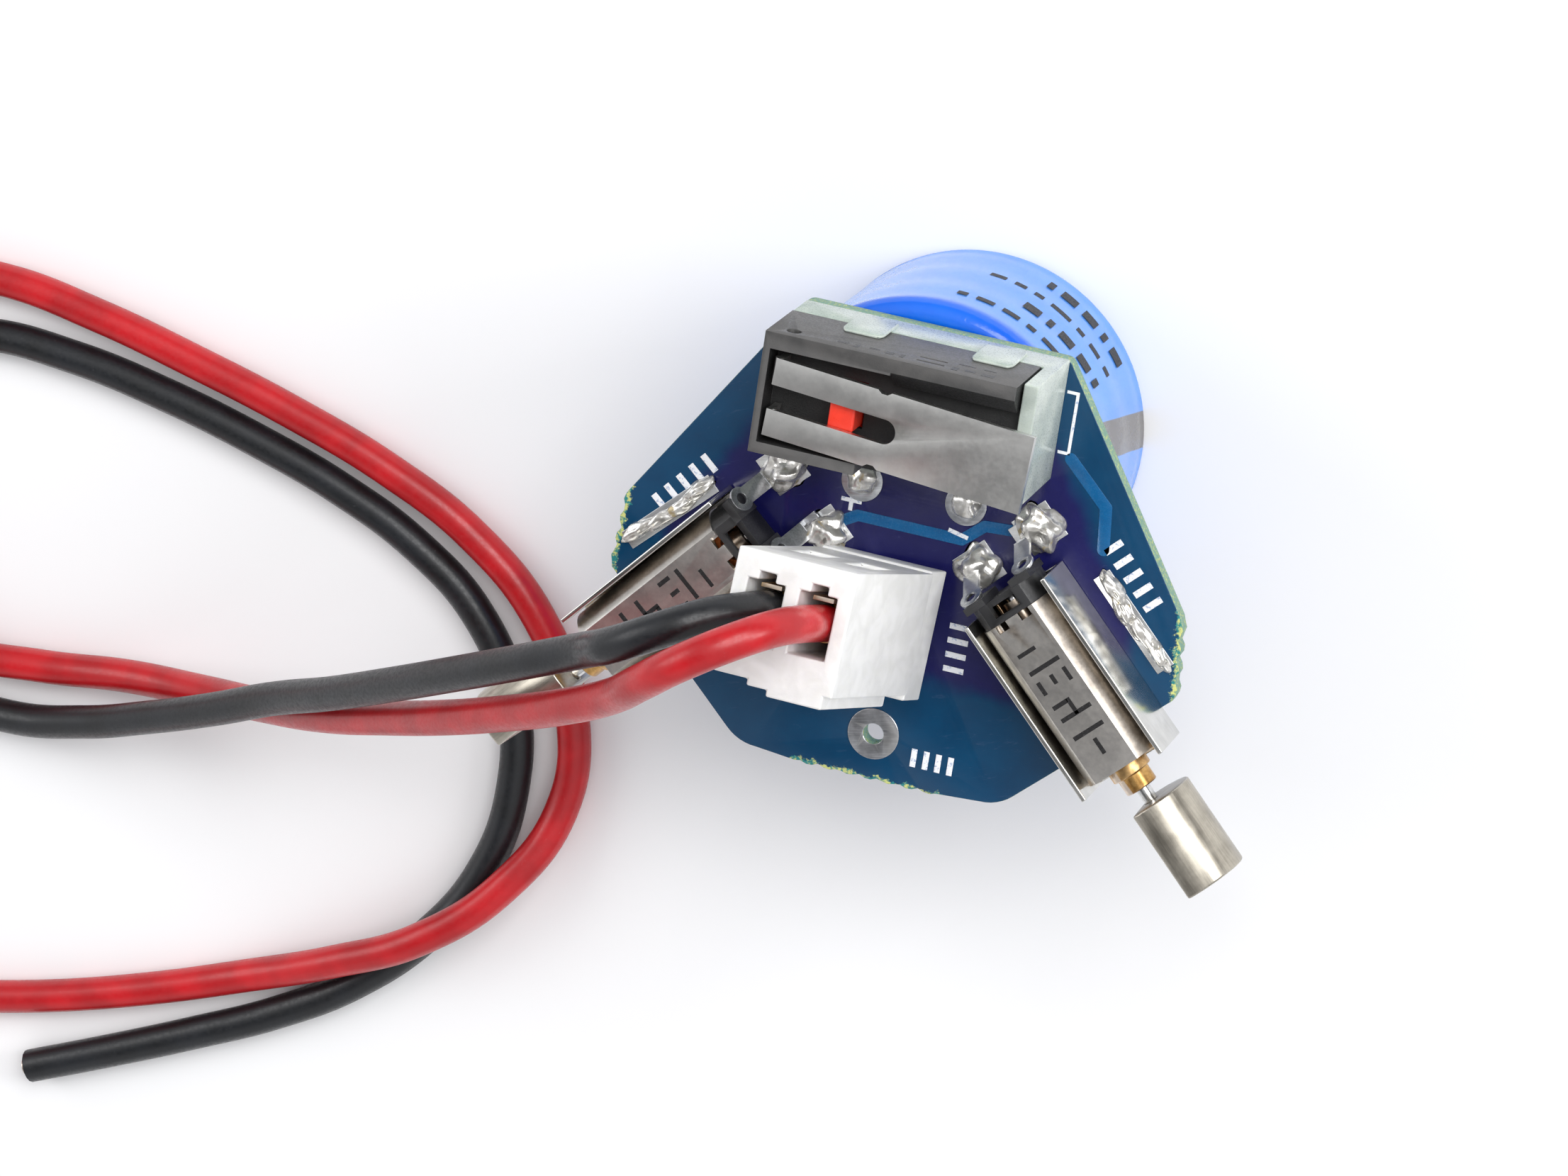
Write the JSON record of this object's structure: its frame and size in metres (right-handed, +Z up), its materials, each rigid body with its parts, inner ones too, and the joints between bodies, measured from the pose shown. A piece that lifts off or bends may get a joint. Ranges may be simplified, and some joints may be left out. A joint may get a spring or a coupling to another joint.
{
  "type": "vibration motor robot board",
  "caption": "Small circuit board on a round capacitor, with two eccentric-weight vibration motors, a lever switch and a leaning connector with a red and a black lead.",
  "frame": {"origin": "middle of the capacitor's flat end, which the board stands on", "axes": "+Z up through the board, +Y towards the lever switch, +X towards motor B"},
  "size_m": [0.0819, 0.0542, 0.0325],
  "materials": {
    "solder_mask": "glossy blue solder mask over fibreglass",
    "trace_mask": "solder mask over copper",
    "tin": "hot-air levelled tin and bright solder",
    "white_ink": "printed epoxy ink",
    "sleeve": "glossy heat-shrink film",
    "aluminium": "drawn aluminium",
    "black_moulding": "moulded liquid-crystal polymer",
    "cell": "rubber-ringed carbon cells",
    "switch_grey": "moulded grey case",
    "switch_cream": "translucent pale base",
    "lever_steel": "rolled stainless strip",
    "plunger_red": "moulded red button",
    "contact_brass": "pressed brass",
    "motor_steel": "nickel-plated steel",
    "magnet": "sintered magnet",
    "copper_coil": "enamelled copper winding",
    "weight_alloy": "sintered tungsten alloy",
    "connector_white": "natural white nylon",
    "lead_black": "black vinyl insulation",
    "lead_red": "red vinyl insulation",
    "copper_strand": "tinned copper strands"
  },
  "bodies": {
    "root": {"circuit_board": "solder_mask", "board_traces": "trace_mask", "solder_pads": "tin", "board_marks": "white_ink", "tail_pad": "tin", "solder_joints": "tin", "cap_sleeve": "sleeve", "cap_can": "aluminium", "cap_base": "black_moulding", "cap_leads": "tin", "cap_cells": "cell", "switch_case": "switch_grey", "switch_base": "switch_cream", "switch_terminals": "contact_brass", "motor_a_clip": "motor_steel", "motor_a_can": "motor_steel", "motor_a_end_cap": "black_moulding", "motor_a_lugs": "tin", "motor_a_brushes": "contact_brass", "motor_a_bearing": "contact_brass", "motor_a_magnet": "magnet", "motor_b_clip": "motor_steel", "motor_b_can": "motor_steel", "motor_b_end_cap": "black_moulding", "motor_b_lugs": "tin", "motor_b_brushes": "contact_brass", "motor_b_bearing": "contact_brass", "motor_b_magnet": "magnet", "header_body": "connector_white", "header_pins": "tin"},
    "rotor_a": {"motor_a_coil": "copper_coil", "motor_a_commutator": "contact_brass", "motor_a_shaft": "motor_steel", "motor_a_weight": "weight_alloy"},
    "rotor_b": {"motor_b_coil": "copper_coil", "motor_b_commutator": "contact_brass", "motor_b_shaft": "motor_steel", "motor_b_weight": "weight_alloy"},
    "lever": {"switch_lever": "lever_steel"},
    "plunger": {"switch_plunger": "plunger_red"},
    "blade": {"switch_blade": "contact_brass"},
    "plug": {"plug_housing": "connector_white", "plug_terminals": "contact_brass", "lead_black": "lead_black", "lead_red": "lead_red", "lead_cores": "copper_strand"}
  },
  "joints": [
    {"name": "motor_a_spin", "type": "hinge", "parent": "root", "child": "rotor_a", "pos_m": [-0.00975, -0.0075, 0.01441], "axis": [-0.6494, -0.7604, 0], "continuous": true},
    {"name": "motor_b_spin", "type": "hinge", "parent": "root", "child": "rotor_b", "pos_m": [0.00965, -0.00725, 0.01441], "axis": [0.7071, -0.7071, 0], "continuous": true},
    {"name": "lever_press", "type": "hinge", "parent": "root", "child": "lever", "pos_m": [-0.0053, 0.0044, 0.0186], "axis": [0, 1, 0], "range_deg": [0, 7], "stiffness_Nm_per_rad": 0.001, "springref_deg": -1.15},
    {"name": "plunger_travel", "type": "slide", "parent": "root", "child": "plunger", "axis": [0, 0, -1], "range_m": [0, 0.00045]},
    {"name": "blade_rock", "type": "hinge", "parent": "root", "child": "blade", "pos_m": [0.0038, 0.0044, 0.0158], "axis": [0, -1, 0], "range_deg": [0, 4.3]},
    {"name": "plug_pull", "type": "slide", "parent": "root", "child": "plug", "axis": [-0.0872, 0.241, 0.9666], "range_m": [0, 0.008]}
  ],
  "couplings": [
    {"joint": "plunger_travel", "follows": "lever_press", "m_per_rad": 0.0033},
    {"joint": "blade_rock", "follows": "lever_press", "ratio": 0.57}
  ]
}
